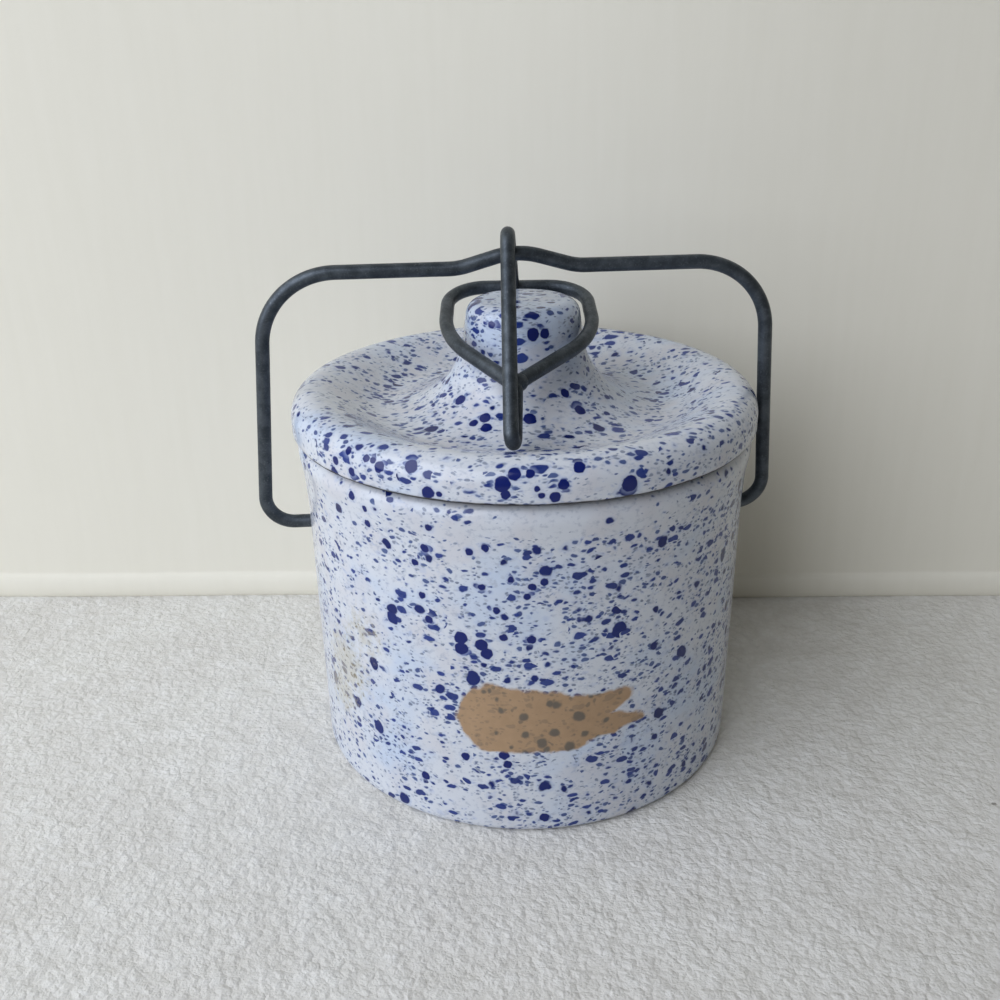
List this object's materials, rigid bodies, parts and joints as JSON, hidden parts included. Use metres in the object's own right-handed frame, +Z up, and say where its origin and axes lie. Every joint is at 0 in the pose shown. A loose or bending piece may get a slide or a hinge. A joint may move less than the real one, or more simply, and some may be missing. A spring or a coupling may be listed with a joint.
{
  "type": "stoneware crock",
  "caption": "Small glazed stoneware crock with a knobbed lid held down by a swinging wire bail and a wire clamp lever with a finger loop.",
  "frame": {"origin": "the crock's axis on the table, in the middle of its flat base", "axes": "+Z up along the crock's axis, X along the hinge line of the bail, -Y to the front, where the finger loop is"},
  "size_m": [0.1146, 0.1, 0.1167],
  "materials": {
    "crock_glaze": "gloss, cobalt speckle, bare clay patch in front",
    "lid_glaze": "gloss, cobalt speckle",
    "seal": "matt",
    "bail_wire": "dark oxide, satin",
    "lever_wire": "dark oxide, satin"
  },
  "bodies": {
    "crock": {"crock_body": "crock_glaze"},
    "lid": {"lid": "lid_glaze", "gasket": "seal"},
    "bail": {"bail": "bail_wire"},
    "lever": {"clamp_lever": "lever_wire"}
  },
  "joints": [
    {"name": "lid_lift", "type": "slide", "parent": "crock", "child": "lid", "axis": [0, 0, 1], "range_m": [0, 0.0061]},
    {"name": "lever_turn", "type": "hinge", "parent": "crock", "child": "lever", "pos_m": [0, 0.01445, 0.0922], "axis": [-1, 0, 0], "range_deg": [0, 109.1]},
    {"name": "bail_swing", "type": "hinge", "parent": "crock", "child": "bail", "pos_m": [0, 0, 0.052], "axis": [-1, 0, 0], "range_deg": [0, 40]}
  ],
  "couplings": [
    {"joint": "lever_turn", "follows": "lid_lift", "rad_per_m": 312},
    {"joint": "bail_swing", "follows": "lid_lift", "rad_per_m": 114.3}
  ]
}
